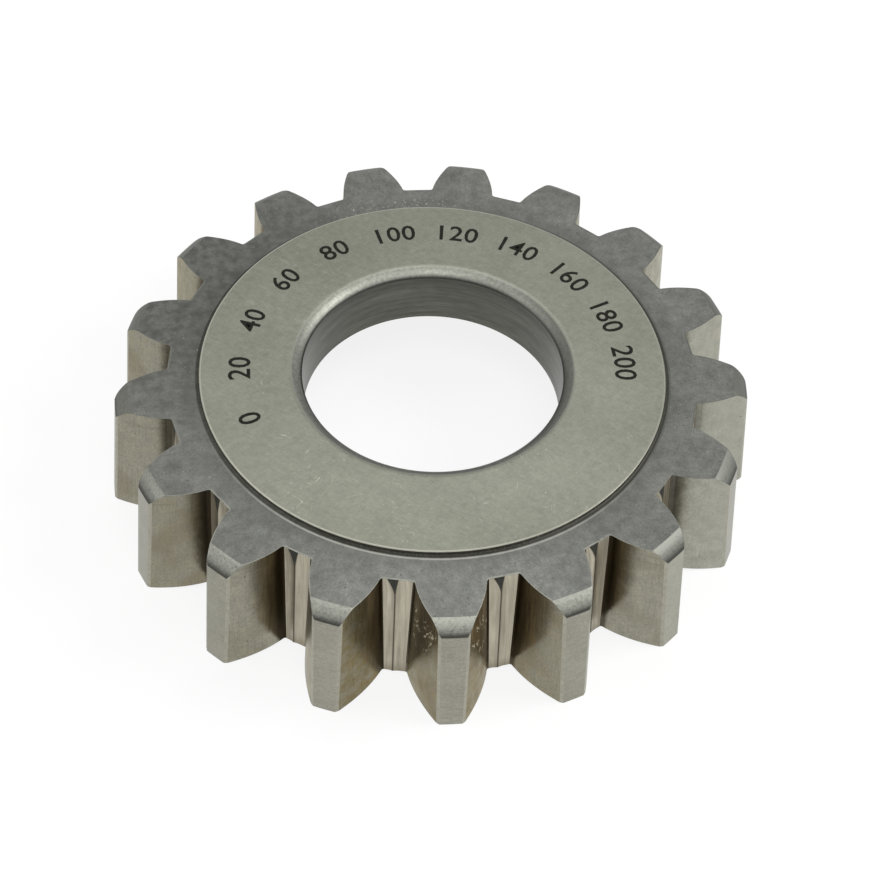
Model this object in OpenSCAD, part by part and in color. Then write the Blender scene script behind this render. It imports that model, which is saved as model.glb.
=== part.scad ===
// Disc type gear shaper cutter for involute splines: one piece of hardened tool steel.
// It rests on its cutting tips at z = 0, with the bore axis on Z and the clamping face up.
// Each section through the teeth is an involute gear whose profile shift falls with height,
// and that gives the tips, the flanks and the roots their relief behind the cutting edges.

/* [Teeth] */
// Module of the gear that the cutter generates
tooth_module = 6; // [5:0.25:7]
// Number of teeth
teeth = 17; // [15:1:22]
// Profile angle on the pitch circle
profile_angle = 30; // [25:1:32]
// Profile shift coefficient at the cutting tips
face_shift = 0.12; // [0:0.02:0.3]
// Height of the tips above the pitch circle at the cutting edge
tip_rise = 4.95; // [4.2:0.05:5.4]
// Depth of the gap floor below the pitch circle at the cutting edge
root_drop = 4.35; // [3.6:0.05:4.8]
// Relief angle behind the cutting edges
relief_angle = 6; // [4:0.5:7]
// Relief angle of the gap floors
floor_relief = 4.5; // [3:0.5:6]
// Rake angle of the dished cutting face
rake_angle = 5; // [0:0.5:8]

/* [Tooth edges] */
// Width of the edge bevel on the tip land
bevel_land = 0.25; // [0.1:0.05:0.5]
// Depth of the edge bevel on the flank
bevel_flank = 0.35; // [0.1:0.05:0.6]
// Radial width of the rounded back corner of the tips
back_round_w = 2.4; // [1.5:0.1:3]
// Height of the rounded back corner of the tips
back_round_h = 2.3; // [1:0.1:3]
// Half of the angle that the back corner turns through
back_round_turn = 20; // [8:1:30]

/* [Gap floor] */
// Fillet between the flank and the gap floor
root_fillet = 0.4; // [0.1:0.05:0.5]
// Height of the ridge between the two ground strips
ridge_h = 0.15; // [0.1:0.05:0.4]
// Half width of the ridge's hollow flanks
ridge_w = 1.2; // [1:0.05:1.3]
// Sideways shift of the ridge from the middle of the gap
ridge_shift = 0.3; // [0:0.05:0.4]
// Length of the unground wedge that ends at the back face
wedge_len = 4; // [1:0.1:6]
// Half width of the unground wedge at the back face
wedge_w = 0.9; // [0.3:0.05:0.9]
// Sideways lean of the unground wedge at the back face
wedge_lean = 0.45; // [0:0.05:0.45]

/* [Disc] */
// Overall height from the cutting tips to the clamping face
cutter_h = 24; // [20:0.5:28]
// Height of the ground clamping face above the toothed ring
boss_h = 0.7; // [0.3:0.1:1.5]
// Width of the plain ring between the clamping face and the gaps
shoulder_w = 5.3; // [3:0.1:6]
// Fillet at the foot of the clamping face's step
boss_fillet = 0.4; // [0.1:0.1:0.6]
// Edge break round the clamping face
boss_break = 0.15; // [0.05:0.05:0.3]

/* [Bore] */
// Diameter of the ground bore
bore_d = 44.443; // [38:0.001:50]
// Thickness of the web that the bore passes through
web_h = 12; // [8:0.5:14]
// Radial width of the rounded bore mouth
mouth_w = 1.9; // [0.5:0.1:2.5]
// Height of the rounded bore mouth
mouth_h = 1.35; // [0.5:0.05:2]
// Half of the angle that the bore mouth turns through
mouth_turn = 20; // [8:1:30]
// Chamfer at the lower end of the bore
bore_chamfer = 1.05; // [0.3:0.05:2]

/* [Nut recess] */
// Wall between the recess and the gap floors at the cutting face
recess_wall = 11.6; // [8:0.1:14]
// Fillet in the corner of the recess
recess_fillet = 1.5; // [0.5:0.1:3]
// Chamfer at the mouth of the recess
recess_chamfer = 0.8; // [0.2:0.1:1.5]

/* [Hidden] */
$fn = 180;
pitch_r = tooth_module * teeth / 2;
base_r = pitch_r * cos(profile_angle);
pitch_turn = 360 / teeth;
ring_z = cutter_h - boss_h;
wedge_z = ring_z - wedge_len;
// Height above the tips at a radius on the dished cutting face
function rake_z(r) = (tip_r(0) - r) * tan(rake_angle);
boss_r = root_r(ring_z) - shoulder_w;
recess_r = root_r(0) - recess_wall;
web_z = cutter_h - web_h;
bore_r = bore_d / 2;
// The tooth form is taken past both faces, and the turned blank then trims it
spare = 1;
// Steps along each involute, from the fillet to the edge bevel
flank_steps = 8;
// Steps along a turned rounding
round_steps = 5;
// The ridge keeps a flat this wide on each side where the strips meet
ridge_flat = 0.04;
// The rounded back corner starts this far outside the tips, so that it cuts them cleanly
round_clear = 0.02;
// How fast the unground wedge flares towards the back face
wedge_flare = 1.6;
// A ground strip keeps at least this much between the ridge's foot and the fillet
strip_min = 0.1;
// Half of the quarter turn that every fillet makes
fillet_turn = 45;
// On a low step the foot fillet and the edge break keep to these shares of its height
foot_share = 0.6;
break_share = 0.3;
foot_r = min(boss_fillet, boss_h * foot_share);
break_w = min(boss_break, boss_h * break_share);

// Radial loss at a height, from the relief
function relief(z) = z * tan(relief_angle);
function tip_r(z) = pitch_r + tip_rise - relief(z);
function root_r(z) = pitch_r - root_drop - z * tan(floor_relief);
function shift(z) = face_shift - relief(z) / tooth_module;

// The involute function, in degrees
function inv(a) = tan(a) * 180 / PI - a;

// Angle between a tooth's middle and its flank, at a radius and a height
function flank_turn(r, z) =
    (90 + 2 * shift(z) * tan(profile_angle) * 180 / PI) / teeth
    + inv(profile_angle) - inv(acos(min(1, base_r / r)));

// Share of its full size that the unground wedge has at a height
function wedge_share(z) = pow(min(1, max(0, (z - wedge_z) / wedge_len)), wedge_flare);

// Height of a ground strip above the gap floor, at a distance from the ridge's middle
function strip_h(u) = ridge_h * pow(1 - u / ridge_w, 2);

// Gap floor from the ridge to the fillet on one side, as distance sideways and height
function floor_points(z, side) =
    let (
        r = root_r(z),
        half_w = r * sin(pitch_turn / 2 - flank_turn(r + root_fillet, z)),
        ridge_u = side * (ridge_shift + wedge_lean * wedge_share(z)),
        edge = max(ridge_flat, wedge_w * wedge_share(z)),
        mid = (edge + ridge_w) / 2,
        end = max(half_w - root_fillet, ridge_u + ridge_w + strip_min)
    )
    [
        [ridge_u, r + strip_h(edge)],
        [ridge_u + edge, r + strip_h(edge)],
        [ridge_u + mid, r + strip_h(mid)],
        [ridge_u + ridge_w, r],
        [end, r],
        [end + (half_w - end) * sin(fillet_turn), r + root_fillet * (1 - cos(fillet_turn))]
    ];

// One side of a tooth from the ridge in the gap to the land: radius and angle from its middle
function half_section(z, side) =
    let (
        start_r = root_r(z) + root_fillet,
        end_r = tip_r(z) - bevel_flank,
        land_turn = flank_turn(tip_r(z), z) - bevel_land / tip_r(z) * 180 / PI
    )
    concat(
        [for (p = floor_points(z, side)) [norm(p), pitch_turn / 2 - atan2(p[0], p[1])]],
        [
            for (i = [0 : flank_steps])
                let (r = start_r + (end_r - start_r) * i / flank_steps)
                [r, flank_turn(r, z)]
        ],
        [[tip_r(z), land_turn]]
    );

// A whole tooth: from a ridge up one flank, over the land and down to the next ridge
function tooth_section(z) =
    let (rising = half_section(z, -1), falling = half_section(z, 1), last = len(falling) - 1)
    concat(
        [for (p = rising) [p[0], -p[1]]],
        [[tip_r(z), 0]],
        [for (i = [last : -1 : 1]) falling[i]]
    );

function ring_section(z) =
    let (tooth = tooth_section(z))
    [
        for (k = [0 : teeth - 1], p = tooth)
            let (a = k * pitch_turn - 90 + p[1])
            [p[0] * cos(a), p[0] * sin(a), z]
    ];

// Relieved teeth on a solid disc, lofted through sections along the axis
module tooth_form() {
    levels = [-spare, wedge_z, wedge_z + wedge_len / 3, wedge_z + wedge_len * 2 / 3, ring_z,
        cutter_h + spare];
    count = len(ring_section(0));
    points = [for (z = levels) each ring_section(z)];
    sides = [
        for (i = [0 : len(levels) - 2], j = [0 : count - 1])
            let (a = i * count + j, b = i * count + (j + 1) % count)
            each [[a, a + count, b], [b, a + count, b + count]]
    ];
    lowest = [for (j = [0 : count - 1]) j];
    highest = [for (j = [count - 1 : -1 : 0]) (len(levels) - 1) * count + j];
    polyhedron(points, concat(sides, [lowest, highest]), convexity = 8);
}

// Points on an arc that bulges to the right of the line from one point to another
function bulge(from, to, turn) =
    let (
        chord = to - from,
        lean = atan2(chord[1], chord[0]),
        r = norm(chord) / (2 * sin(turn)),
        mid = (from + to) / 2 + r * cos(turn) * [-sin(lean), cos(lean)]
    )
    [
        for (i = [0 : round_steps])
            let (a = lean - 90 - turn + 2 * turn * i / round_steps)
            mid + r * [cos(a), sin(a)]
    ];

// The turned blank, as half of its section from the bore outwards
module blank_section() {
    round_z = ring_z - back_round_h;
    round_r = tip_r(round_z) + round_clear;
    outer_r = tip_r(0) + spare;
    // The rounding meets the tips at this slope, and the blank carries on along it
    round_slope = atan2(back_round_h, back_round_w) + back_round_turn;
    polygon(concat(
        [
            [bore_r, web_z + bore_chamfer],
            [bore_r + bore_chamfer, web_z]
        ],
        bulge([recess_r - recess_fillet, web_z], [recess_r, web_z - recess_fillet], -fillet_turn),
        [
            [recess_r, rake_z(recess_r) + recess_chamfer],
            [recess_r + recess_chamfer, rake_z(recess_r + recess_chamfer)],
            [outer_r, rake_z(outer_r)],
            [outer_r, round_z - (outer_r - round_r) * tan(round_slope)]
        ],
        bulge([round_r, round_z], [round_r - back_round_w, ring_z], back_round_turn),
        bulge([boss_r + foot_r, ring_z], [boss_r, ring_z + foot_r], -fillet_turn),
        [
            [boss_r, cutter_h - break_w],
            [boss_r - break_w, cutter_h]
        ],
        bulge([bore_r + mouth_w, cutter_h], [bore_r, cutter_h - mouth_h], mouth_turn)
    ));
}

module cutter() {
    color([0.56, 0.56, 0.52])
    intersection() {
        tooth_form();
        rotate_extrude() blank_section();
    }
}

cutter();
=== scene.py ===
import math

import bmesh
import bpy
import numpy as np
from mathutils import Matrix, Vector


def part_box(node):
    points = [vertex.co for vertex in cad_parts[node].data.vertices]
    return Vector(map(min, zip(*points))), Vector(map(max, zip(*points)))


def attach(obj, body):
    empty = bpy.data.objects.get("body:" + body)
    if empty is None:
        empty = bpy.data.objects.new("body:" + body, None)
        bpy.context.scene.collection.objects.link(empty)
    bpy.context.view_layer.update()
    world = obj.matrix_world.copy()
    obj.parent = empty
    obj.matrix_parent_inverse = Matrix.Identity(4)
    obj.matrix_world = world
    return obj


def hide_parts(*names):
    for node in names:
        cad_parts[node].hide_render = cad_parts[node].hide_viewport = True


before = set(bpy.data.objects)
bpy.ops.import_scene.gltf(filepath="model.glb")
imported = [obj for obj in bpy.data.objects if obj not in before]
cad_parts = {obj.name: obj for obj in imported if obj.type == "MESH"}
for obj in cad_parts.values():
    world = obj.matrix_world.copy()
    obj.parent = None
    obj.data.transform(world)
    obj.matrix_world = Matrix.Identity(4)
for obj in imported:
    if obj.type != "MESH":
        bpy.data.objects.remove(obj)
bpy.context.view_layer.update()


# Turned blank: a disc of high speed steel, drilled, faced and turned all over before any tooth is cut.
# A raised face for clamping stands on the back, a recess for the nut lies in the front, and after
# hardening the bore and the raised face are ground.

mm = 0.001
cutter_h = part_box("cutter")[1].z
boss_h = 0.7 * mm
boss_r = 39.47 * mm
boss_fillet = 0.4 * mm
boss_break = 0.1 * mm
ring_z = cutter_h - boss_h
bore_r = 22.2215 * mm
web_z = 12 * mm
mouth_w = 1.9 * mm
mouth_h = 1.35 * mm
mouth_turn = math.radians(20)
bore_chamfer = 1.05 * mm
recess_r = 35.05 * mm
recess_fillet = 1.5 * mm
recess_chamfer = 0.8 * mm
back_round_w = 2.4 * mm
back_round_h = 2.3 * mm
back_round_turn = math.radians(20)
rake_slope = math.tan(math.radians(5))
relief_slope = math.tan(math.radians(6))
tip_radius = 55.95 * mm


def arc(start, end, turn, steps):
    """Points on an arc from start to end that bulges to the right of the line between them.

    The arc turns through twice the given angle. Its middle lies on the line's left, at the radius
    times the angle's cosine. A negative angle bulges the arc to the left."""
    start, end = np.array(start), np.array(end)
    chord = end - start
    lean = math.atan2(chord[1], chord[0])
    radius = np.hypot(*chord) / (2 * math.sin(turn))
    middle = (start + end) / 2 + radius * math.cos(turn) * np.array([-math.sin(lean), math.cos(lean)])
    a = lean - math.pi / 2 - turn + 2 * turn * np.linspace(0, 1, steps + 1)
    return middle + radius * np.stack([np.cos(a), np.sin(a)], axis=1)


round_end_z = ring_z - back_round_h
round_end_r = tip_radius - round_end_z * relief_slope
round_start_r = round_end_r - back_round_w


def back_height(r):
    """Height of the turned back at a radius: flat, then falling on one arc over the backs of the teeth.

    The arc is a circle through the ends of the rounding, so the height is the circle's middle plus the
    root of its radius squared less the distance from the middle squared."""
    chord = math.hypot(back_round_w, back_round_h)
    radius = chord / (2 * math.sin(back_round_turn))
    lean = math.atan2(back_round_h, back_round_w)
    reach = radius * math.cos(back_round_turn)
    middle_r = (round_start_r + round_end_r) / 2 - reach * math.sin(lean)
    middle_z = (ring_z + round_end_z) / 2 - reach * math.cos(lean)
    fall = middle_z + np.sqrt(np.maximum(radius**2 - (r - middle_r) ** 2, 0))
    return np.where(r > round_start_r, fall, ring_z)


def face_height(r):
    """Height of the dished cutting face above the tips, which grows inwards by the rake's slope."""
    return (tip_radius - r) * rake_slope


# Relieved teeth: seventeen involute teeth, ground on their lands and flanks and down to the gap floors.
# Every section is an involute gear whose profile moves inwards with height, so that the teeth clear
# the work behind their cutting edges. Two passes of the wheel leave a ridge along each gap floor.

module = 6 * mm
teeth = 17
pressure_angle = math.radians(30)
pitch_radius = module * teeth / 2
base_radius = pitch_radius * math.cos(pressure_angle)
pitch_turn = 2 * math.pi / teeth
face_shift = 0.12
floor_radius = 46.65 * mm
floor_slope = math.tan(math.radians(4.5))
floor_fillet = 0.4 * mm
edge_bevel_land = 0.25 * mm
edge_bevel_flank = 0.35 * mm
ridge_h = 0.15 * mm
ridge_w = 1.2 * mm
ridge_shift = 0.3 * mm
ridge_flat = 0.04 * mm
wedge_w = 0.9 * mm
wedge_len = 4.0 * mm
wedge_lean = 0.45 * mm
wedge_flare = 1.6


def involute(a):
    """The involute function: the tangent of an angle less the angle."""
    return np.tan(a) - a


def flank_turn(r, z):
    """Angle from a tooth's middle to its flank: half the tooth's pitch angle, widened by the profile
    shift at this height, plus the involute function at the pitch circle less that at the radius."""
    shift = face_shift - z * relief_slope / module
    half = (math.pi / 2 + 2 * shift * math.tan(pressure_angle)) / teeth
    return half + involute(pressure_angle) - involute(np.arccos(np.minimum(1, base_radius / r)))


def strip_height(u):
    """Height of a ground strip above the floor: a parabola that falls from the ridge to its foot."""
    return ridge_h * (1 - u / ridge_w) ** 2


def wedge_share(z):
    """Share of its full size that the unground wedge has: nothing below, and then a power of the height."""
    return np.clip((z - ring_z + wedge_len) / wedge_len, 0, 1) ** wedge_flare


# Every line up a tooth's side has a kind and a share: how far it lies across its own band
side_bands = {
    "ridge": [0],
    "strip": [0, 0.25, 0.5, 0.75, 1],
    "floor": [0.5, 1],
    "fillet": [0.3, 0.6, 0.85],
    "flank": list(np.linspace(0, 1, 17)),
    "bevel": [0.5],
    "land": [1, 0.67, 0.33],
}
side_kinds = [kind for kind, shares in side_bands.items() for share in shares]
side_shares = [share for shares in side_bands.values() for share in shares]
line_kinds = np.array(side_kinds + ["land"] + side_kinds[:0:-1])
line_shares = np.array(side_shares + [0] + side_shares[:0:-1])
line_sides = np.array([-1] * len(side_kinds) + [0] + [1] * (len(side_kinds) - 1))
lines = len(line_kinds)


def outline(z):
    """Radius and angle from the tooth's middle of each line up one tooth, at heights given for each line.

    From the ridge the section follows the strip's parabola, the flat floor, a quarter turn of fillet,
    the involute flank, a straight bevel and the land, which keeps the radius of the tips."""
    floor_r = floor_radius - z * floor_slope
    tip_r = tip_radius - z * relief_slope
    half_w = floor_r * np.sin(pitch_turn / 2 - flank_turn(floor_r + floor_fillet, z))
    middle = line_sides * (ridge_shift + wedge_lean * wedge_share(z))
    edge = np.maximum(ridge_flat, wedge_w * wedge_share(z))
    end = np.maximum(half_w - floor_fillet, middle + ridge_w)
    strip = edge + (ridge_w - edge) * line_shares
    bend = line_shares * math.pi / 2
    on = [line_kinds == kind for kind in ("ridge", "strip", "floor")]
    across = np.select(
        [np.broadcast_to(o, z.shape) for o in on],
        [middle, middle + strip, middle + ridge_w + (end - middle - ridge_w) * line_shares],
        end + (half_w - end) * np.sin(bend),
    )
    height = np.select(
        [np.broadcast_to(o, z.shape) for o in on],
        [strip_height(edge), strip_height(strip), 0 * z],
        floor_fillet * (1 - np.cos(bend)),
    )
    bevel_r = tip_r - edge_bevel_flank
    bevel_turn = flank_turn(bevel_r, z)
    flank_r = floor_r + floor_fillet + (bevel_r - floor_r - floor_fillet) * line_shares
    land_turn = flank_turn(tip_r, z) - edge_bevel_land / tip_r
    on = [np.broadcast_to(line_kinds == kind, z.shape) for kind in ("flank", "bevel", "land")]
    r = np.select(
        on,
        [flank_r, bevel_r + edge_bevel_flank * line_shares, tip_r],
        np.hypot(across, floor_r + height),
    )
    turn = np.select(
        on,
        [
            flank_turn(flank_r, z),
            bevel_turn + (land_turn - bevel_turn) * line_shares,
            land_turn * line_shares,
        ],
        pitch_turn / 2 - np.arctan2(across, floor_r + height),
    )
    return r, turn * np.where(line_sides < 0, -1, 1)


# The body as one closed skin: round the teeth one way, and round the section the other way, from the
# bore over the back, down the teeth, in along the cutting face and up through the recess. The cutting
# edges are left keen, and the edges at the back are only just broken.

edge_break = 0.04 * mm
least_round = 0.3 * mm
lip_w = 0.5 * mm
fillet_turn = math.pi / 4
settle_steps = 12
bore_steps = 8
mouth_steps = 8
face_steps = 4
step_steps = 2
wall_steps = 3
ring_steps = 7
rake_steps = 6
fillet_steps = 6
side_steps = 17
close_steps = 8
close_share = 0.18
back_edge_z = np.full((1, lines), ring_z)
cutting_z = np.zeros((1, lines))
for step in range(settle_steps):
    back_edge_z = back_height(outline(back_edge_z)[0])
    cutting_z = face_height(outline(cutting_z)[0])
back_r, back_turn = outline(back_edge_z)
cutting_r, cutting_turn = outline(cutting_z)
ones = np.ones((1, lines))


def turned(section, share):
    """Rows turned round the axis: each point of a section at its radius and height, on every line.

    share says how far the lines have gone from their angles at the back to those at the front."""
    section = np.atleast_2d(section)
    share = np.reshape(share, (-1, 1)) * np.ones((len(section), 1))
    turn = back_turn + (cutting_turn - back_turn) * share
    return section[:, :1] * ones, turn, section[:, 1:] * ones


def spaced(start, end, steps):
    """Points at even steps on the straight line from start to end."""
    share = np.linspace(0, 1, steps + 1)[:, None]
    return np.array(start) + (np.array(end) - np.array(start)) * share


bore_foot = (bore_r, web_z + bore_chamfer)
bore_head = (bore_r, cutter_h - mouth_h)
face_inner = (bore_r + mouth_w, cutter_h)
face_settled = (bore_r + mouth_w + lip_w, cutter_h)
face_outer = (boss_r - boss_break, cutter_h)
step_head = (boss_r, cutter_h - boss_break)
step_foot = (boss_r, ring_z + boss_fillet)
ring_inner = (boss_r + boss_fillet, ring_z)
recess_head = (recess_r, web_z - recess_fillet)
recess_mouth = (recess_r, face_height(recess_r) + recess_chamfer)
face_start_r = recess_r + recess_chamfer
web_outer = (recess_r - recess_fillet, web_z)
web_inner = (bore_r + bore_chamfer, web_z)

# The tooth's back face runs out to the rounding, and the rounding to the edge over each line. Down the
# tooth's side the rows stand closer together near the back, where the wedge ends.
round_r = np.minimum(round_start_r, back_r - least_round)
share = np.linspace(0, 1, ring_steps + 1)[1:, None]
ring_r = ring_inner[0] + (round_r - ring_inner[0]) * share
round_rows_r = round_r + (back_r - edge_break - round_r) * share
close_shares = np.linspace(0, close_share, close_steps + 1)
wide_shares = np.linspace(close_share, 1, side_steps - close_steps + 1)[1:]
side_shares_z = np.concatenate([close_shares, wide_shares])[:, None]
side_start_z = back_edge_z - edge_break
side_z = side_start_z + (cutting_z - side_start_z) * side_shares_z
side_r, side_turn = outline(side_z)
top_r = back_r - edge_break
top_z = back_height(top_r)
soft_share = np.array([0.25, 0.5, 0.75])[:, None]
soft = [
    a * (1 - soft_share) ** 2 + b * 2 * soft_share * (1 - soft_share) + c * soft_share**2
    for a, b, c in (
        (top_r, back_r, side_r[:1]),
        (back_turn, back_turn, side_turn[:1]),
        (top_z, back_edge_z, side_z[:1]),
    )
]
face_share = np.linspace(0, 1, rake_steps + 1)[1:, None]
rake_r = cutting_r + (face_start_r - cutting_r) * face_share

bands = [
    ("bore", turned(spaced(bore_foot, bore_head, bore_steps), np.linspace(1, 0, bore_steps + 1))),
    ("mouth", turned(arc(bore_head, face_inner, -mouth_turn, mouth_steps)[1:], 0)),
    ("lip", turned([face_settled], 0)),
    ("face", turned(spaced(face_settled, face_outer, face_steps)[1:], 0)),
    ("break", turned([step_head], 0)),
    ("step", turned(spaced(step_head, step_foot, step_steps)[1:], 0)),
    ("foot", turned(arc(step_foot, ring_inner, fillet_turn, fillet_steps)[1:], 0)),
    ("back", (ring_r, back_turn + 0 * ring_r, back_height(ring_r))),
    ("round", (round_rows_r, back_turn + 0 * round_rows_r, back_height(round_rows_r))),
    ("soft", soft),
    ("side", (side_r, side_turn, side_z)),
    ("rake", (rake_r, cutting_turn + 0 * rake_r, face_height(rake_r))),
    ("rim", turned([recess_mouth], 1)),
    ("wall", turned(spaced(recess_mouth, recess_head, wall_steps)[1:], 1)),
    ("corner", turned(arc(recess_head, web_outer, fillet_turn, fillet_steps)[1:], 1)),
    ("web", turned(spaced(web_outer, web_inner, wall_steps)[1:], 1)),
]
row_bands = np.array([name for name, rows in bands for row in rows[0]])
r, turn, z = (np.concatenate([rows[k] * ones for name, rows in bands]) for k in range(3))
rows = len(row_bands)
columns = lines * teeth
tooth_turns = np.repeat(np.arange(teeth) * pitch_turn - math.pi / 2, lines)
a = np.tile(turn, teeth) + tooth_turns
r, z = np.tile(r, teeth), np.tile(z, teeth)
points = np.stack([r * np.cos(a), r * np.sin(a), z], axis=-1).reshape(-1, 3)
row, column = (g.ravel() for g in np.meshgrid(np.arange(rows), np.arange(columns), indexing="ij"))
next_row = (row + 1) % rows
next_column = (column + 1) % columns
quads = np.stack(
    [
        row * columns + column,
        next_row * columns + column,
        next_row * columns + next_column,
        row * columns + next_column,
    ],
    axis=1,
)
skin = bpy.data.meshes.new("cutter_body")
skin.from_pydata(points, [], quads.tolist())
skin.polygons.foreach_set("use_smooth", np.ones(len(quads), bool))

# A quad takes its kind from its band of rows and, down the side of a tooth, from its outer line
steps_out = np.minimum(np.arange(lines), lines - np.arange(lines))
outer_step = np.maximum(steps_out, np.roll(steps_out, -1))
step_kinds = np.array(["wedge", "wedge"] + side_kinds[2:] + ["land"])
step_kinds[[k for k, kind in enumerate(side_kinds) if kind == "floor"]] = "strip"
step_kinds[side_kinds.index("flank")] = "fillet"
step_kinds[side_kinds.index("land")] = "bevel"
line_parts = np.tile(step_kinds[outer_step], teeth)
row_parts = np.append(row_bands[1:], "chamfer")
parts = np.where(row_parts[row] == "side", line_parts[column], row_parts[row])

# Creases stay where one turned or ground surface meets another
ends = np.zeros(len(skin.edges) * 2, int)
skin.edges.foreach_get("vertices", ends)
ends = ends.reshape(-1, 2)
end_rows, end_columns = ends // columns, ends % columns
along_row = end_rows[:, 0] == end_rows[:, 1]
crease_rows = np.flatnonzero(row_parts != np.roll(row_parts, 1))
soft_above = ("lip", "face", "foot", "back", "soft", "corner", "web")
soft_below = ("soft", "corner")
smooth_rows = [k for k in crease_rows if row_parts[k] in soft_above or row_parts[k - 1] in soft_below]
crease_rows = np.setdiff1d(crease_rows, smooth_rows)
crease_columns = np.flatnonzero(line_parts != np.roll(line_parts, 1))
fillet_ends = [k for k in crease_columns if "fillet" in (line_parts[k], line_parts[k - 1])]
crease_columns = np.setdiff1d(crease_columns, fillet_ends)
side_rows = np.flatnonzero(row_bands == "side")
on_side = np.isin(end_rows, side_rows).all(axis=1)
sharp = np.where(
    along_row,
    np.isin(end_rows[:, 0], crease_rows),
    on_side & np.isin(end_columns[:, 0], crease_columns),
)
skin.attributes.new("sharp_edge", "BOOLEAN", "EDGE").data.foreach_set("value", sharp)

# Where each point lies on its tooth: how far round the outline and how high, for the grinding marks,
# and its shares of the way from ridge and root to tip and from front to back, for the dried oil.
side_top = side_rows[0]
steps = np.hypot(np.diff(r[side_top, :lines]), np.diff(turn[side_top]) * r[side_top, 1:lines])
far_round = np.tile(np.concatenate([[0], np.cumsum(steps)]), teeth)
out_of = {"ridge": (-1, 0), "strip": (-1, 0.6), "floor": (-0.4, 0.4), "fillet": (0, 0), "flank": (0, 1)}
from_to = np.array([out_of.get(kind, (1, 0)) for kind in line_kinds])
out_share = np.tile(from_to[:, 0] + from_to[:, 1] * line_shares, teeth)
up_share = z / ring_z
tooth_side = np.repeat(np.arange(teeth) * 2, lines) + np.tile(line_sides > 0, teeth)

# On each flank the brown stain, which also stands for a painted dark reflection of the neighbouring
# tooth, has a reach out from the root, a height where it stops and a strength, and the film of oil has a
# strength of its own. The flanks count up from the front tooth's left one round to the right, and down
# from it round to the left.
stains_and_shade = np.tile([0.45, 0.3, 0.65, 0.2], (teeth * 2, 1))
stains_and_shade[[0, 1]] = (2.6, 0.16, 0.6, 0.5), (2.6, 0.14, 1, 0.6)
stains_and_shade[[-1, 2]] = (1.05, 0.12, 1, 0.9), (1.2, 0.18, 1, 0.5)
stains_and_shade[[-3, 4]] = (1.0, 0.12, 1, 0.25), (0.8, 0.3, 1, 0.25)
stains_and_shade[[-5, 6]] = (0.6, 0.2, 0.9, 0.45), (0.5, 0.4, 0.6, 0)
stains_and_shade[-15:-5:2] = (0.45, 0.3, 0.65, 0.32)
stains_and_shade[8:16:2] = (0.3, 0.3, 0.3, 0)
reach, stop, strength, oil = stains_and_shade[tooth_side].T
marks = {
    "grain": [far_round + 0 * z, z, tooth_side + 0 * z],
    "place": [out_share + 0 * z, up_share, oil + 0 * z],
    "stain": [reach + 0 * z, stop + 0 * z, strength + 0 * z],
}
for name, fields in marks.items():
    values = np.stack(fields, axis=-1).astype(np.float32)
    skin.attributes.new(name, "FLOAT_VECTOR", "POINT").data.foreach_set("vector", values.ravel())
body = bpy.data.objects.new("cutter_body", skin)
bpy.context.collection.objects.link(body)


def tone(red, green, blue):
    """Linear colour of a tone on the usual scale of 0 to 255: the screen's curve taken off each channel."""
    c = np.array([red, green, blue]) / 255
    return (*np.where(c <= 0.04045, c / 12.92, ((c + 0.055) / 1.055) ** 2.4), 1)


def add(tree, kind, settings=None, **inputs):
    """A new node in the tree, with its settings, and each input given as a value or as a link.

    An input goes by its name, or by its number after the letters in."""
    made = tree.nodes.new(kind)
    for name, value in (settings or {}).items():
        setattr(made, name, value)
    for name, value in inputs.items():
        socket = made.inputs[int(name[2:]) if name.startswith("in") and name[2:].isdigit() else name]
        if isinstance(value, bpy.types.NodeSocket):
            tree.links.new(value, socket)
        else:
            socket.default_value = value
    return made


def finish(name, roughness, metallic=1.0, mesh=skin):
    """A new finish on a mesh: its node tree and its shader, with the plain values set."""
    material = bpy.data.materials.new(name)
    material.use_nodes = True
    mesh.materials.append(material)
    shader = material.node_tree.nodes["Principled BSDF"]
    shader.inputs["Metallic"].default_value = metallic
    shader.inputs["Roughness"].default_value = roughness
    return material.node_tree, shader


def spot(tree):
    """Place on the cutter, in metres."""
    return add(tree, "ShaderNodeTexCoord").outputs["Object"]


def field(tree, name):
    """One of the mesh's own fields, as three numbers."""
    return add(tree, "ShaderNodeAttribute", {"attribute_name": name}).outputs["Vector"]


def split(tree, vector):
    """The three numbers of a vector, each by itself: X, Y and Z."""
    return add(tree, "ShaderNodeSeparateXYZ", Vector=vector).outputs


def marks_of(tree, vector, per_metre, detail=2.0, rough=0.5, turn=0.0, seed=0.0):
    """Noise from 0 to 1, with so many marks to the metre along each way, after a turn in the flat."""
    laid = add(tree, "ShaderNodeMapping", {"vector_type": "POINT"}, Vector=vector, Rotation=(0, 0, turn))
    sized = add(tree, "ShaderNodeVectorMath", {"operation": "MULTIPLY"}, in0=laid.outputs[0], in1=per_metre)
    noise = add(tree, "ShaderNodeTexNoise", {"noise_dimensions": "4D"}, Vector=sized.outputs[0], W=seed)
    noise.inputs["Scale"].default_value = 1
    noise.inputs["Detail"].default_value = detail
    noise.inputs["Roughness"].default_value = rough
    return noise.outputs["Fac"]


def ramp(tree, value, low, high, start=0.0, end=1.0):
    """The value's way from low to high, kept within start and end, with soft ends."""
    settings = {"interpolation_type": "SMOOTHSTEP"}
    made = add(tree, "ShaderNodeMapRange", settings, Value=value)
    made.inputs["From Min"].default_value = low
    made.inputs["From Max"].default_value = high
    made.inputs["To Min"].default_value = start
    made.inputs["To Max"].default_value = end
    return made.outputs["Result"]


def product(tree, *values):
    """The product of several values."""
    made = values[0]
    for value in values[1:]:
        made = add(tree, "ShaderNodeMath", {"operation": "MULTIPLY"}, in0=made, in1=value).outputs[0]
    return made


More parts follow.
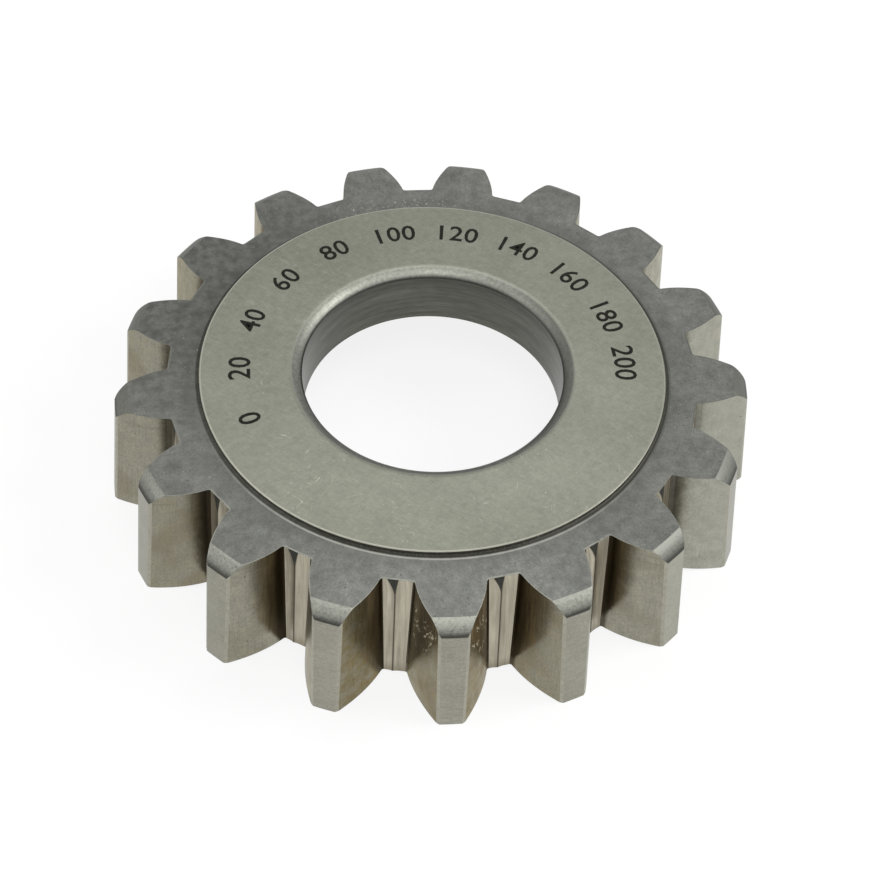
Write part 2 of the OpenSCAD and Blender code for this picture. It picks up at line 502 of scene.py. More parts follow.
def coat(tree, share, under, over, mode="MIX"):
    """One colour laid over another by a share from 0 to 1."""
    made = add(tree, "ShaderNodeMix", {"data_type": "RGBA", "blend_type": mode})
    for name, value in (("Factor_Float", share), ("A_Color", under), ("B_Color", over)):
        socket = next(one for one in made.inputs if one.identifier == name)
        if isinstance(value, bpy.types.NodeSocket):
            tree.links.new(value, socket)
        else:
            socket.default_value = value
    return next(one for one in made.outputs if one.identifier == "Result_Color")


def shaded(tree, colour, value, depth):
    """A colour made lighter and darker by noise round a half, by so much of itself each way."""
    level = ramp(tree, value, 0.25, 0.75, start=1 - depth, end=1 + depth)
    made = add(tree, "ShaderNodeVectorMath", {"operation": "SCALE"}, Scale=level)
    if isinstance(colour, bpy.types.NodeSocket):
        tree.links.new(colour, made.inputs[0])
    else:
        made.inputs[0].default_value = colour[:3]
    return made.outputs[0]


def bumped(tree, shader, height, depth):
    """A bump so many metres deep on the shader's normal."""
    made = add(tree, "ShaderNodeBump", Height=height, Strength=1.0, Distance=depth)
    tree.links.new(made.outputs["Normal"], shader.inputs["Normal"])


def radius_at(tree, at):
    """Distance from the axis of the bore."""
    flat = add(tree, "ShaderNodeVectorMath", {"operation": "MULTIPLY"}, in0=at, in1=(1, 1, 0)).outputs[0]
    return add(tree, "ShaderNodeVectorMath", {"operation": "LENGTH"}, in0=flat).outputs["Value"]


def band(tree, value, low, high, soft):
    """1 between two values and 0 outside them, with ends so soft."""
    rising = ramp(tree, value, low - soft, low + soft)
    return product(tree, rising, ramp(tree, value, high - soft, high + soft, start=1.0, end=0.0))


def close(tree, at, place, near, far):
    """1 within a distance of a place and 0 beyond a further one."""
    apart = add(tree, "ShaderNodeVectorMath", {"operation": "DISTANCE"}, in0=at, in1=place)
    return ramp(tree, apart.outputs["Value"], near, far, start=1.0, end=0.0)


# Hardened skin of the back and of the gaps' wedges: turned, then left dull, mottled and specked by the
# hardening salt. The ring is painted lighter at the front and painted darker by the step, painted shade
# fills the foot of the step and a band round it on the right, and outside it a thin painted highlight runs.

painted_light_place = (0, -46 * mm, ring_z)
dull_place = (-41 * mm, 24 * mm, ring_z)
salted_place = (-4 * mm, 41 * mm, ring_z)
foot_front = (-4 * mm, -40 * mm, ring_z)
foot_r = (40.04 * mm, 40.22 * mm)
shade_band_r = (39.5 * mm, 40.45 * mm)
highlight_line_r = (40.24 * mm, 40.54 * mm)
salt_tone = tone(150, 150, 141)
tree, shader = finish("hardened_skin", roughness=0.5, metallic=0.4)
at = spot(tree)
way = split(tree, at)
out_from_axis = radius_at(tree, at)
mottle = marks_of(tree, at, (2100,) * 3, detail=4, rough=0.7)
clouds = marks_of(tree, at, (520,) * 3, detail=4, rough=0.6)
# Painted light: the ring is painted lighter towards the front.
painted_light_front = close(tree, at, painted_light_place, near=8 * mm, far=32 * mm)
colour = coat(tree, painted_light_front, tone(93, 94, 89), tone(104, 105, 100))
colour = shaded(tree, colour, mottle, depth=0.26)
colour = shaded(tree, colour, clouds, depth=0.22)
colour = shaded(tree, colour, marks_of(tree, at, (190,) * 3, detail=2, seed=16), depth=0.14)
colour = shaded(tree, colour, marks_of(tree, at, (5200,) * 3, detail=2), depth=0.16)
# Painted shade: the ring is painted darker close to the step.
step_shade = ramp(tree, out_from_axis, 40.5 * mm, 44.5 * mm, start=0.3, end=0.0)
colour = coat(tree, step_shade, colour, tone(62, 63, 58))
dull_side = close(tree, at, dull_place, near=8 * mm, far=42 * mm)
dull = product(tree, dull_side, ramp(tree, clouds, 0.3, 0.6, start=0.8, end=0.4))
colour = coat(tree, dull, colour, tone(48, 49, 45))
grime = ramp(tree, marks_of(tree, at, (1500,) * 3, detail=2), 0.645, 0.69)
colour = coat(tree, product(tree, grime, 0.65), colour, tone(54, 54, 49))
salt = ramp(tree, marks_of(tree, at, (2400, 2400, 900), detail=1, seed=4), 0.67, 0.74)
patch = ramp(tree, marks_of(tree, at, (160,) * 3, detail=2, seed=8), 0.44, 0.6)
colour = coat(tree, product(tree, salt, patch, 0.6), colour, salt_tone)
rear_salt = ramp(tree, marks_of(tree, at, (1700, 1700, 900), detail=2, seed=17), 0.58, 0.68)
by_rear = close(tree, at, salted_place, near=4 * mm, far=19 * mm)
by_step = ramp(tree, out_from_axis, 41.5 * mm, 44.5 * mm, start=0.75, end=0.15)
colour = coat(tree, product(tree, rear_salt, by_rear, by_step), colour, salt_tone)
# Painted shadow: a dark band round the step's foot, painted on the right side.
shade_band = band(tree, out_from_axis, *shade_band_r, soft=0.12 * mm)
painted_shade_right = ramp(tree, way["X"], 8 * mm, 30 * mm, start=0.0, end=0.75)
colour = coat(tree, product(tree, shade_band, painted_shade_right), colour, tone(66, 67, 62))
# Painted highlight: a thin pale line just outside the step's foot, strongest at the front.
highlight_line = band(tree, out_from_axis, *highlight_line_r, soft=0.1 * mm)
highlight_line_front = close(tree, at, foot_front, near=14 * mm, far=46 * mm)
patchy = ramp(tree, clouds, 0.3, 0.55, start=0.6, end=1.0)
colour = coat(tree, product(tree, highlight_line, highlight_line_front, patchy), colour, tone(141, 141, 134))
# Painted shade: the foot of the step is painted dark, most at the front and fading half way up.
foot = ramp(tree, out_from_axis, *foot_r, start=1.0, end=0.0)
low = ramp(tree, way["Z"], ring_z + 0.15 * mm, ring_z + 0.45 * mm, start=1.0, end=0.0)
foot_shade_front = ramp(tree, close(tree, at, foot_front, near=9 * mm, far=26 * mm), 0.0, 1.0, start=0.72, end=1.0)
broken_up = ramp(tree, mottle, 0.3, 0.65, start=1.0, end=0.75)
foot_shade = product(tree, foot, foot_shade_front, broken_up, ramp(tree, low, 0.0, 1.0, start=0.5, end=1.0))
colour = coat(tree, foot_shade, colour, tone(34, 33, 25))
bare_step = ramp(tree, product(tree, foot, low), 0.0, 1.0, start=0.4, end=0.85)
tree.links.new(bare_step, shader.inputs["Metallic"])
tree.links.new(colour, shader.inputs["Base Color"])
tree.links.new(ramp(tree, mottle, 0.3, 0.7, start=0.42, end=0.56), shader.inputs["Roughness"])
bumped(tree, shader, marks_of(tree, at, (2600,) * 3, detail=3), depth=0.008 * mm)

tree, shader = finish("gap_wedge", roughness=0.55)
colour = shaded(tree, tone(62, 63, 58), marks_of(tree, spot(tree), (1800,) * 3, detail=3), depth=0.25)
tree.links.new(colour, shader.inputs["Base Color"])

# Turned rounding at the backs of the teeth: a painted highlight along its middle, strongest at the front,
# pitted and nicked all over, with painted shade along its lower edge and towards the right and the rear.

tree, shader = finish("turned_rounding", roughness=0.42, metallic=0.7)
at = spot(tree)
way = split(tree, at)
turned_lines = marks_of(tree, at, (60, 60, 5200), detail=4, rough=0.6)
pitted = marks_of(tree, at, (2300,) * 3, detail=4, rough=0.75)
colour = shaded(tree, tone(114, 115, 108), pitted, depth=0.4)
colour = shaded(tree, colour, turned_lines, depth=0.2)
# Painted highlight: a pale band along the rounding's upper middle, broken by pits, strongest at the front.
highlight_height = ramp(tree, way["Z"], 21.5 * mm, 22.5 * mm)
highlight_pitted = ramp(tree, pitted, 0.35, 0.6, start=0.4, end=1.0)
painted_light_front = ramp(tree, way["Y"], -54 * mm, -36 * mm, start=0.8, end=0.35)
wear_and_highlight = product(tree, highlight_height, highlight_pitted, painted_light_front)
colour = coat(tree, wear_and_highlight, colour, tone(148, 149, 139))
# Painted shade: the rounding is painted darker towards the right and towards the rear.
right_shade = ramp(tree, way["X"], 18 * mm, 42 * mm, start=0.0, end=0.55)
colour = coat(tree, right_shade, colour, tone(78, 79, 74))
rear_shade = ramp(tree, way["Y"], -34 * mm, 4 * mm, start=0.0, end=0.65)
colour = coat(tree, rear_shade, colour, tone(72, 73, 68))
# Painted shade: a dark line painted along the rounding's lower edge.
low_edge_shade = ramp(tree, way["Z"], round_end_z + 0.1 * mm, round_end_z + 1.0 * mm, start=1.0, end=0.0)
colour = coat(tree, product(tree, low_edge_shade, 0.9), colour, tone(48, 47, 41))
nicks = ramp(tree, marks_of(tree, at, (1500, 1500, 1900), detail=2, seed=2), 0.66, 0.72)
colour = coat(tree, product(tree, nicks, 0.6), colour, tone(62, 62, 56))
tree.links.new(colour, shader.inputs["Base Color"])
tree.links.new(ramp(tree, pitted, 0.3, 0.7, start=0.42, end=0.56), shader.inputs["Roughness"])
bumped(tree, shader, pitted, depth=0.012 * mm)

# Ground clamping face: pale, even and fine, with stray hair scratches, worn flecks and a few pits. Its
# outer edge has a painted highlight round it, and painted shade darkens the face towards the front.

edge_highlight_r = (39.18 * mm, 39.42 * mm)
hair_leans = (0.3, 1.0, 1.7, 2.2, 2.9)
hair_tone = tone(162, 164, 153)
smudged_place = (-24 * mm, 18 * mm, cutter_h)
tree, shader = finish("ground_face", roughness=0.38)
at = spot(tree)
way = split(tree, at)
out_from_axis = radius_at(tree, at)
fine = marks_of(tree, at, (3600,) * 3, detail=3, rough=0.6)
lit_side = ramp(tree, way["X"], -30 * mm, 38 * mm)
colour = coat(tree, lit_side, tone(114, 116, 105), tone(120, 122, 111))
# Painted shade: the face is painted darker towards the front.
front_shade = ramp(tree, way["Y"], -40 * mm, -24 * mm, start=0.6, end=0.0)
colour = coat(tree, front_shade, colour, tone(106, 108, 97))
colour = shaded(tree, colour, fine, depth=0.08)
colour = shaded(tree, colour, marks_of(tree, at, (700,) * 3, detail=3, rough=0.6), depth=0.055)
colour = shaded(tree, colour, marks_of(tree, at, (90,) * 3, detail=3), depth=0.06)
colour = shaded(tree, colour, marks_of(tree, at, (700, 2600, 900), detail=2, turn=0.6), depth=0.045)
colour = shaded(tree, colour, marks_of(tree, at, (700, 2600, 900), detail=2, turn=2.4, seed=2), depth=0.045)
wear_and_highlight = ramp(tree, marks_of(tree, at, (150,) * 3, detail=2, seed=3), 0.48, 0.6)
handled = ramp(tree, way["Y"], -14 * mm, 8 * mm, start=0.55, end=0.2)
spared = ramp(tree, way["X"], 4 * mm, 26 * mm, start=1.0, end=0.5)
for k, lean in enumerate(hair_leans):
    hair = marks_of(tree, at, (360, 3000, 900), detail=2, turn=lean, seed=10 + k)
    hair = ramp(tree, hair, 0.68, 0.76)
    patch = ramp(tree, marks_of(tree, at, (110,) * 3, detail=1, seed=20 + k), 0.44, 0.56)
    colour = coat(tree, product(tree, hair, patch, handled, spared), colour, hair_tone)
flecks = ramp(tree, marks_of(tree, at, (2000,) * 3, detail=2, seed=5), 0.63, 0.71)
colour = coat(tree, product(tree, flecks, wear_and_highlight, handled), colour, tone(166, 167, 156))
dents = marks_of(tree, at, (1000, 1900, 900), detail=3, rough=0.6, turn=0.5, seed=7)
colour = shaded(tree, colour, dents, depth=0.05)
pits = ramp(tree, marks_of(tree, at, (1500,) * 3, detail=1, seed=6), 0.755, 0.785)
colour = coat(tree, product(tree, pits, 0.7), colour, tone(68, 66, 58))
# Painted highlight: a pale line painted round the face's outer edge, most on the left.
edge_highlight = band(tree, out_from_axis, *edge_highlight_r, soft=0.08 * mm)
edge_highlight_most = ramp(tree, way["X"], 4 * mm, 34 * mm, start=0.7, end=0.35)
colour = coat(tree, product(tree, edge_highlight, edge_highlight_most), colour, tone(152, 153, 143))
smudge = ramp(tree, marks_of(tree, at, (300, 700, 900), detail=4, rough=0.65, turn=0.7, seed=18), 0.52, 0.66)
smudged = close(tree, at, smudged_place, near=5 * mm, far=21 * mm)
colour = coat(tree, product(tree, smudge, smudged, 0.3), colour, tone(146, 147, 137))
tree.links.new(colour, shader.inputs["Base Color"])
tree.links.new(ramp(tree, fine, 0.3, 0.7, start=0.34, end=0.44), shader.inputs["Roughness"])
bumped(tree, shader, fine, depth=0.003 * mm)

# Ground bore: darker, with faint rings from the grinding and painted shade just under the mouth, and its
# rounded mouth turned and polished, with painted highlights on its upper rear and along its rim and
# painted shade on its right. A black line runs between the two.

mouth_z = cutter_h - mouth_h
tree, shader = finish("ground_bore", roughness=0.36)
at = spot(tree)
turned_lines = marks_of(tree, at, (60, 60, 4200), detail=4, rough=0.6)
colour = shaded(tree, tone(93, 94, 87), turned_lines, depth=0.16)
colour = shaded(tree, colour, marks_of(tree, at, (100, 100, 900), detail=4, rough=0.6), depth=0.2)
colour = shaded(tree, colour, marks_of(tree, at, (420, 420, 2400), detail=4, rough=0.7), depth=0.14)
# Painted shade: the bore is painted darker just under the mouth.
shade_under_mouth = ramp(tree, split(tree, at)["Z"], mouth_z - 3 * mm, mouth_z, start=0.0, end=0.4)
colour = coat(tree, shade_under_mouth, colour, tone(62, 62, 57))
tree.links.new(colour, shader.inputs["Base Color"])
bumped(tree, shader, turned_lines, depth=0.002 * mm)

tree, shader = finish("turned_mouth", roughness=0.32)
at = spot(tree)
way = split(tree, at)
turned_lines = marks_of(tree, at, (90, 90, 5200), detail=4, rough=0.6)
colour = shaded(tree, tone(107, 108, 102), turned_lines, depth=0.12)
# Painted highlight: the mouth's upper rear is painted pale.
highlight_rear = ramp(tree, way["Y"], 2 * mm, 17 * mm)
highlight_upper = ramp(tree, way["Z"], mouth_z + 0.3 * mm, mouth_z + 0.8 * mm)
colour = coat(tree, product(tree, highlight_rear, highlight_upper, 0.36), colour, tone(150, 152, 141))
colour = shaded(tree, colour, marks_of(tree, at, (1700,) * 3, detail=4, rough=0.7), depth=0.24)
black_line = ramp(tree, way["Z"], mouth_z + 0.12 * mm, mouth_z + 0.5 * mm, start=1.0, end=0.0)
colour = coat(tree, product(tree, black_line, 0.85), colour, tone(38, 38, 35))
# Painted shade: the mouth is painted darker on the right.
painted_shade_right = ramp(tree, way["X"], 10 * mm, 21 * mm, start=0.0, end=0.5)
colour = coat(tree, painted_shade_right, colour, tone(84, 85, 80))
# Painted highlight: a pale line painted along the mouth's rim.
rim_highlight = ramp(tree, way["Z"], cutter_h - 0.14 * mm, cutter_h - 0.04 * mm)
colour = coat(tree, product(tree, rim_highlight, 0.4), colour, tone(142, 144, 133))
tree.links.new(colour, shader.inputs["Base Color"])
tree.links.new(ramp(tree, turned_lines, 0.3, 0.7, start=0.4, end=0.54), shader.inputs["Roughness"])
bumped(tree, shader, turned_lines, depth=0.004 * mm)

# Ground lands: an even grey with the wheel's faint grain across the tooth, with painted light making it a
# little paler on the right, and brighter bevels honed along both long edges.

tree, shader = finish("ground_land", roughness=0.36)
grain = marks_of(tree, field(tree, "grain"), (160, 3600, 7), detail=4, rough=0.6)
at = spot(tree)
# Painted light: the lands are painted paler on the right.
painted_light_right = band(tree, split(tree, at)["X"], 27 * mm, 42 * mm, soft=9 * mm)
colour = coat(tree, painted_light_right, tone(148, 146, 134), tone(157, 156, 142))
colour = shaded(tree, colour, grain, depth=0.14)
colour = shaded(tree, colour, marks_of(tree, at, (2300,) * 3, detail=3, rough=0.7), depth=0.12)
colour = shaded(tree, colour, marks_of(tree, at, (260,) * 3, detail=2), depth=0.06)
tree.links.new(colour, shader.inputs["Base Color"])
tree.links.new(ramp(tree, grain, 0.3, 0.7, start=0.3, end=0.42), shader.inputs["Roughness"])
bumped(tree, shader, grain, depth=0.003 * mm)

tree, shader = finish("honed_bevel", roughness=0.34)
grain = marks_of(tree, field(tree, "grain"), (900, 1100, 7), detail=3, rough=0.6)
tree.links.new(shaded(tree, tone(156, 154, 140), grain, depth=0.14), shader.inputs["Base Color"])

# Ground flanks: warm grey, with the grain of the wheel up and down and its feed across. Oil has dried
# on them in a thin film and, from the root outwards and from the back down to a line, in a brown stain
# with pale dried specks. It dulls the steel's shine, and a grazing look at it stays brown. The brown
# stain also carries a painted dark reflection of the neighbouring tooth, and the root is darkened by
# stain and by painted shade.

flank_len = 9.3 * mm
speck_turn = -1.0
root_brown = tone(26, 19, 9)
outer_brown = tone(94, 81, 57)


def worked(tree, operation, *values):
    """Plain arithmetic on values, by the name of Blender's operation."""
    inputs = {f"in{k}": value for k, value in enumerate(values)}
    return add(tree, "ShaderNodeMath", {"operation": operation}, **inputs).outputs[0]


tree, shader = finish("ground_flank", roughness=0.32)
shader.inputs["Specular IOR Level"].default_value = 0.15
at = field(tree, "grain")
out, up, oil = split(tree, field(tree, "place"))
reach, stop, strength = split(tree, field(tree, "stain"))
grain = marks_of(tree, at, (3600, 170, 7), detail=4, rough=0.65)
cloud = marks_of(tree, at, (420, 420, 7), detail=4, rough=0.65)
patches = marks_of(tree, at, (110, 110, 7), detail=2, seed=1)
oiled = product(tree, oil, ramp(tree, cloud, 0.35, 0.6, start=0.4, end=1.0))
colour = coat(tree, oiled, tone(152, 151, 139), tone(116, 107, 82))
colour = shaded(tree, colour, grain, depth=0.13)
colour = shaded(tree, colour, cloud, depth=0.18)
colour = shaded(tree, colour, marks_of(tree, at, (2300, 1700, 7), detail=4, rough=0.75, seed=3), depth=0.2)
lit_side = ramp(tree, split(tree, spot(tree))["X"], 32 * mm, 52 * mm, start=0.0, end=0.4)
colour = coat(tree, lit_side, colour, tone(173, 175, 167))
blot = product(tree, ramp(tree, patches, 0.45, 0.6), ramp(tree, oil, 0.0, 0.45, start=0.08, end=0.4))
colour = coat(tree, blot, colour, tone(118, 106, 84))
waves = ramp(tree, marks_of(tree, at, (110, 1300, 7), detail=2), 0.5, 0.62)
waves = product(tree, waves, ramp(tree, up, 0.78, 0.9), ramp(tree, oil, 0.02, 0.12))
colour = coat(tree, product(tree, waves, 0.3), colour, tone(112, 107, 92))
pits = ramp(tree, marks_of(tree, at, (1300, 1000, 7), detail=2, seed=6), 0.7, 0.74)
colour = coat(tree, product(tree, pits, 0.75), colour, tone(50, 46, 37))
strayed = worked(tree, "MULTIPLY_ADD", cloud, 0.24, out)
spread = ramp(tree, worked(tree, "DIVIDE", strayed, reach), 0.15, 1.0, start=1.0, end=0.0)
sagged = worked(tree, "MULTIPLY_ADD", cloud, -0.06, up)
sloped = worked(tree, "MULTIPLY_ADD", out, -0.7, sagged)
above = worked(tree, "SUBTRACT", sloped, stop)
crisp = ramp(tree, reach, 1.05, 1.4, start=0.35, end=1.0)
ended = ramp(tree, product(tree, above, crisp), -0.08, -0.03)
streaked = ramp(tree, grain, 0.3, 0.65, start=0.7, end=1.0)
# The brown stain is partly real oil and partly a painted dark reflection of the neighbouring tooth.
brown = product(tree, ramp(tree, product(tree, spread, ended, streaked), 0.0, 0.75), strength)
stain_and_shade_colour = coat(tree, ramp(tree, out, 0.02, 0.4), root_brown, outer_brown)
tide = product(tree, band(tree, above, -0.05, 0.0, soft=0.02), ramp(tree, reach, 2.0, 2.2))
stain_and_shade_colour = coat(tree, product(tree, tide, 0.4), stain_and_shade_colour, tone(40, 30, 13))
stain_and_shade_colour = shaded(tree, stain_and_shade_colour, grain, depth=0.35)
stain_and_shade_colour = shaded(tree, stain_and_shade_colour, marks_of(tree, at, (1000, 60, 7), detail=3, rough=0.7, seed=14), depth=0.5)
colour = coat(tree, brown, colour, stain_and_shade_colour)
# The root is painted darker, by stain and by painted shade.
root_stain_and_shade = product(tree, ramp(tree, out, 0.0, 0.1, start=0.75, end=0.0), strength)
colour = coat(tree, root_stain_and_shade, colour, tone(34, 26, 12))
warm = worked(tree, "MAXIMUM", brown, oiled)
tint = coat(tree, warm, tone(240, 237, 228), tone(224, 210, 182))
tint = shaded(tree, tint, marks_of(tree, at, (500, 260, 7), detail=4, rough=0.7, seed=15), depth=0.22)
tree.links.new(tint, shader.inputs["Specular Tint"])
far_out = product(tree, out, flank_len)
grained = split(tree, at)
laid_out = add(tree, "ShaderNodeCombineXYZ", X=far_out, Y=grained["Y"], Z=grained["Z"]).outputs[0]
dried = marks_of(tree, laid_out, (620, 1900, 7), detail=3, rough=0.7, turn=speck_turn, seed=9)
where_dried = product(tree, ramp(tree, reach, 2.0, 2.2), ended, band(tree, up, 0.45, 0.88, soft=0.06))
clotted = ramp(tree, marks_of(tree, at, (330, 330, 7), detail=3, seed=12), 0.45, 0.53)
off_root = ramp(tree, out, 0.08, 0.14)
specks = product(tree, ramp(tree, dried, 0.53, 0.58), where_dried, clotted, off_root)
colour = coat(tree, product(tree, specks, 0.9), colour, tone(172, 162, 142))
film = worked(tree, "MAXIMUM", product(tree, brown, 0.5), specks)
tree.links.new(ramp(tree, film, 0.0, 1.0, start=1.0, end=0.0), shader.inputs["Metallic"])
tree.links.new(colour, shader.inputs["Base Color"])
tree.links.new(ramp(tree, grain, 0.3, 0.7, start=0.26, end=0.4), shader.inputs["Roughness"])
bumped(tree, shader, grain, depth=0.003 * mm)

# Ground strips along the gap floors: the palest steel, with straight lines from root to back, painted
# shade beside the line where the two strips meet and a painted shadow along that line.

tree, shader = finish("ground_strip", roughness=0.36)
at = field(tree, "grain")
out, up = split(tree, field(tree, "place"))[:2]
grain = marks_of(tree, at, (5200, 70, 7), detail=4, rough=0.65)
colour = shaded(tree, tone(170, 164, 147), grain, depth=0.28)
colour = shaded(tree, colour, marks_of(tree, at, (1100, 160, 7), detail=3), depth=0.12)
foot = ramp(tree, up, 0.0, 0.16, start=0.55, end=0.0)
colour = coat(tree, foot, colour, tone(96, 84, 62))
# Painted shade: the strip is painted darker beside the line where the two strips meet.
ridge_shade = ramp(tree, out, -0.95, -0.8, start=0.35, end=0.0)
colour = coat(tree, product(tree, ridge_shade, ramp(tree, grain, 0.35, 0.6)), colour, tone(96, 86, 66))
pits = ramp(tree, marks_of(tree, at, (1500, 1100, 7), detail=2, seed=5), 0.68, 0.74)
colour = coat(tree, product(tree, pits, 0.5), colour, tone(85, 76, 58))
# Painted shadow: a dark line painted where the two strips meet.
meeting_shadow = ramp(tree, out, -0.985, -0.93, start=0.75, end=0.0)
colour = coat(tree, meeting_shadow, colour, tone(76, 72, 62))
tree.links.new(colour, shader.inputs["Base Color"])
bumped(tree, shader, grain, depth=0.003 * mm)

# Recess and web under the cutter: turned out of the blank for the clamping nut, with the tool's plain
# rings left on them, and never ground.

tree, shader = finish("turned_recess", roughness=0.42)
at = spot(tree)
height = split(tree, at)["Z"]
ringed = add(tree, "ShaderNodeCombineXYZ", X=radius_at(tree, at), Y=height).outputs[0]
rings = marks_of(tree, ringed, (3000, 3000, 1), detail=3, rough=0.6)
colour = shaded(tree, tone(106, 106, 99), rings, depth=0.16)
tree.links.new(colour, shader.inputs["Base Color"])
bumped(tree, shader, rings, depth=0.008 * mm)

finish_of = {
    "lip": "ground_face",
    "face": "ground_face",
    "break": "honed_bevel",
    "round": "turned_rounding",
    "bore": "ground_bore",
    "mouth": "turned_mouth",
    "wedge": "gap_wedge",
    "strip": "ground_strip",
    "fillet": "ground_flank",
    "flank": "ground_flank",
    "bevel": "honed_bevel",
    "land": "ground_land",
    "rake": "ground_face",
    "rim": "turned_recess",
    "wall": "turned_recess",
    "corner": "turned_recess",
    "web": "turned_recess",
    "chamfer": "turned_recess",
}
slots = list(skin.materials.keys())
slot_of = {part: slots.index(finish_of.get(part, "hardened_skin")) for part in set(parts)}
numbers = np.array([slot_of[part] for part in parts], np.int32)
skin.polygons.foreach_set("material_index", numbers)
skin.update()
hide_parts("cutter")
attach(body, "root")


# Degree numbers: every twenty degrees round an arc of the clamping face, burnt in dark by a laser.
# Each figure is a very thin block, let into the steel and a hair above it.

number_h = 3.7 * mm
number_foot_r = 30.95 * mm
number_start = math.radians(199)
number_step = 20
number_last = 200
number_proud = 0.008 * mm
number_sunk = 0.04 * mm
number_spread = 1.04
number_bold = 0.012
weld_gap = 0.002 * mm


def figures(text):
    """Points and faces of a number's figures, one unit of type high, with their middle at no turn."""
    type_curve = bpy.data.curves.new("type", "FONT")
    type_curve.body = text
    type_curve.align_x = "CENTER"
    type_curve.resolution_u = 3
    type_curve.extrude = 0.5
    type_curve.space_character = number_spread
    type_curve.offset = number_bold
    block = bpy.data.objects.new("type", type_curve)
    bpy.context.collection.objects.link(block)
    made = bpy.data.meshes.new_from_object(block.evaluated_get(bpy.context.evaluated_depsgraph_get()))
    corners = np.zeros(len(made.vertices) * 3)
    made.vertices.foreach_get("co", corners)
    faces = [list(face.vertices) for face in made.polygons]
    bpy.data.objects.remove(block)
    return corners.reshape(-1, 3), faces


def round_the_axis(corners, turn, unit):
    """Type bent on to the face: its width becomes an angle at half its height, its height a radius."""
    across, up, deep = (corners * unit).T
    a = turn - across / (number_foot_r + number_h / 2)
    r = number_foot_r + up
    z = cutter_h + np.where(deep > 0, number_proud, -number_sunk)
    return np.stack([r * np.cos(a), r * np.sin(a), z], axis=1)


unit = number_h / np.ptp(figures("1")[0][:, 1])
corners, faces = [], []
for number in range(0, number_last + 1, number_step):
    shape, shape_faces = figures(str(number))
    first = sum(len(block) for block in corners)
    corners.append(round_the_axis(shape, number_start - math.radians(number), unit))
    faces += [[first + k for k in face] for face in shape_faces]
numbers_mesh = bpy.data.meshes.new("degree_numbers")
numbers_mesh.from_pydata(np.concatenate(corners), [], faces)
numbers_mesh.validate()
degree_numbers = bpy.data.objects.new("degree_numbers", numbers_mesh)
bpy.context.collection.objects.link(degree_numbers)
weld = bmesh.new()
weld.from_mesh(numbers_mesh)
bmesh.ops.remove_doubles(weld, verts=weld.verts, dist=weld_gap)
bmesh.ops.recalc_face_normals(weld, faces=weld.faces)
weld.to_mesh(numbers_mesh)
weld.free()
tree, shader = finish("laser_burn", roughness=0.8, metallic=0.0, mesh=numbers_mesh)
shader.inputs["Specular IOR Level"].default_value = 0.1
burn = shaded(tree, tone(29, 28, 24), marks_of(tree, spot(tree), (1500,) * 3, detail=3), depth=0.4)
tree.links.new(burn, shader.inputs["Base Color"])
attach(degree_numbers, "root")


# Table: a plain pale board that the cutter rests on by its cutting tips. It takes the cutter's soft
# shadow, and to the camera it is nearly as white as the studio, also where the steel mirrors it.

table_w = 4.0
board_white = 0.85
board_tone = (0.9, 0.9, 0.9, 1)


def seen_white(tree):
    """1 for what the camera sees, straight, mirrored or through glass, and 0 for light on the cutter."""
    path = add(tree, "ShaderNodeLightPath").outputs
    seen = path["Is Camera Ray"]
    for ray in ("Is Glossy Ray", "Is Transmission Ray"):
        seen = worked(tree, "MAXIMUM", seen, path[ray])
    return seen


bpy.ops.mesh.primitive_plane_add(size=table_w)
table = bpy.context.object
table.name = "table"
tree, shader = finish("table_board", roughness=0.9, metallic=0.0, mesh=table.data)
shader.inputs["Base Color"].default_value = board_tone
glow = add(tree, "ShaderNodeEmission")
mix = add(tree, "ShaderNodeMixShader", Fac=product(tree, seen_white(tree), board_white))
tree.links.new(shader.outputs["BSDF"], mix.inputs[1])
tree.links.new(glow.outputs["Emission"], mix.inputs[2])
tree.links.new(mix.outputs["Shader"], tree.nodes["Material Output"].inputs["Surface"])


# Light: a white studio all round, with four soft boxes over and beside the cutter. The studio is white
# to the camera and in the steel's shine, and lights the cutter at less than half of that.

studio_light = 0.45
box_far = 0.8
box_w = 0.35
world = bpy.data.worlds.new("studio")
bpy.context.scene.world = world
world.use_nodes = True
tree = world.node_tree
ground = tree.nodes["Background"]
level = add(tree, "ShaderNodeMapRange", Value=seen_white(tree))
level.inputs["To Min"].default_value = studio_light
level.inputs["To Max"].default_value = 1.0
ground.inputs["Color"].default_value = (1, 1, 1, 1)
tree.links.new(level.outputs["Result"], ground.inputs["Strength"])


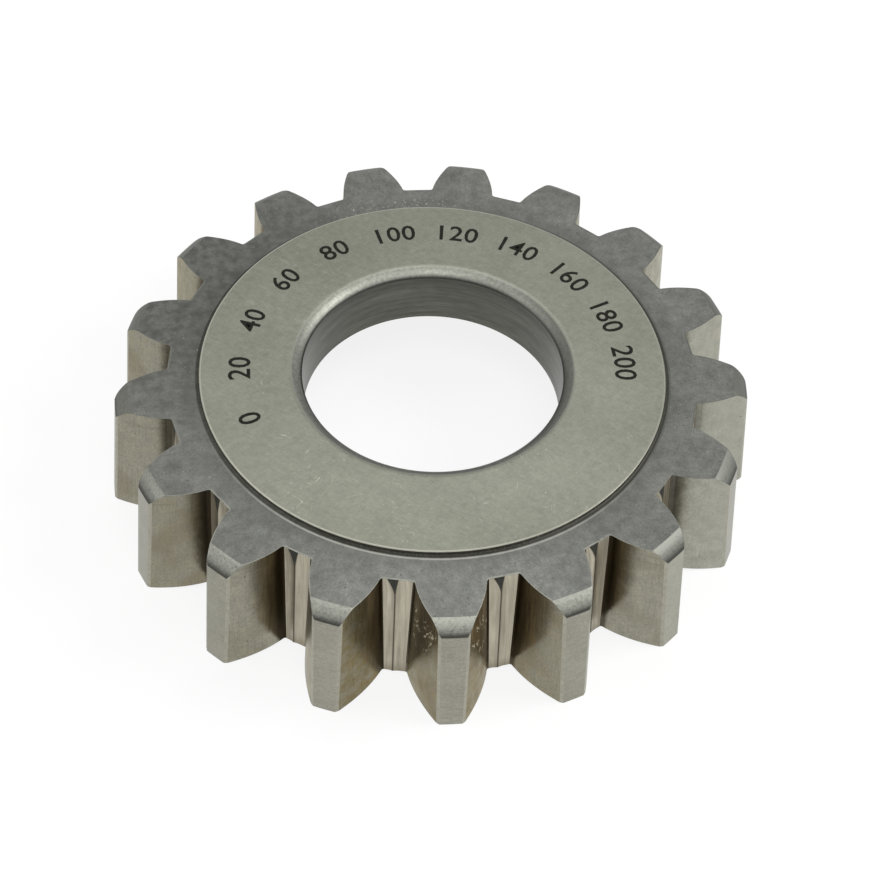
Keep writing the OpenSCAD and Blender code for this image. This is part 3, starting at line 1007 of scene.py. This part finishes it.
def soft_box(name, turn, rise, power):
    """A square soft box that faces the cutter from a turn round it and a rise over the table, in degrees."""
    lamp = bpy.data.lights.new(name, "AREA")
    lamp.shape = "SQUARE"
    lamp.size = box_w
    lamp.energy = power
    box = bpy.data.objects.new(name, lamp)
    bpy.context.collection.objects.link(box)
    turn, rise = math.radians(turn), math.radians(rise)
    side = np.array([-math.sin(turn), math.cos(turn), 0])
    back = np.array([math.cos(rise) * math.cos(turn), math.cos(rise) * math.sin(turn), math.sin(rise)])
    pose = np.eye(4)
    pose[:3, :3] = np.stack([side, np.cross(back, side), back], axis=1)
    pose[:3, 3] = back * box_far
    box.matrix_world = Matrix(pose)


soft_boxes = {
    "rear_box": (90, 66, 0.93),
    "front_box": (-90, 65, 1.7),
    "left_box": (180, 40, 1.15),
    "right_box": (0, 40, 3.9),
}
for name, (turn, rise, power) in soft_boxes.items():
    soft_box(name, turn, rise, power)


# Camera: the photograph's view, from half above in front of one tooth, a little turned and rolled. The
# focal length in pixels and the slide to the side and down come from a fit to the photograph.

image_w = 893
focal_px = 1863.097
sensor_w = 36
camera_far = 315.792 * mm
camera_rise = math.radians(49.784)
camera_roll = math.radians(2.966)
camera_turn = math.radians(-6.139)
camera_slide = (2.272 * mm, -13.738 * mm)
back = np.array([0, -math.cos(camera_rise), math.sin(camera_rise)])
level_right = np.array([1.0, 0, 0])
level_up = np.cross(back, level_right)
right = math.cos(camera_roll) * level_right + math.sin(camera_roll) * level_up
up = -math.sin(camera_roll) * level_right + math.cos(camera_roll) * level_up
swing = np.array(
    [
        [math.cos(camera_turn), -math.sin(camera_turn), 0],
        [math.sin(camera_turn), math.cos(camera_turn), 0],
        [0, 0, 1],
    ]
)
axes = swing @ np.stack([right, up, back], axis=1)
place = axes @ np.array([*camera_slide, camera_far]) + np.array([0, 0, cutter_h])
view = bpy.data.cameras.new("camera")
view.sensor_width = sensor_w
view.lens = focal_px * sensor_w / image_w
view.clip_start = 1 * mm
camera = bpy.data.objects.new("camera", view)
bpy.context.collection.objects.link(camera)
pose = np.eye(4)
pose[:3, :3] = axes
pose[:3, 3] = place
camera.matrix_world = Matrix(pose)
bpy.context.scene.camera = camera
bpy.context.scene.view_settings.view_transform = "Standard"
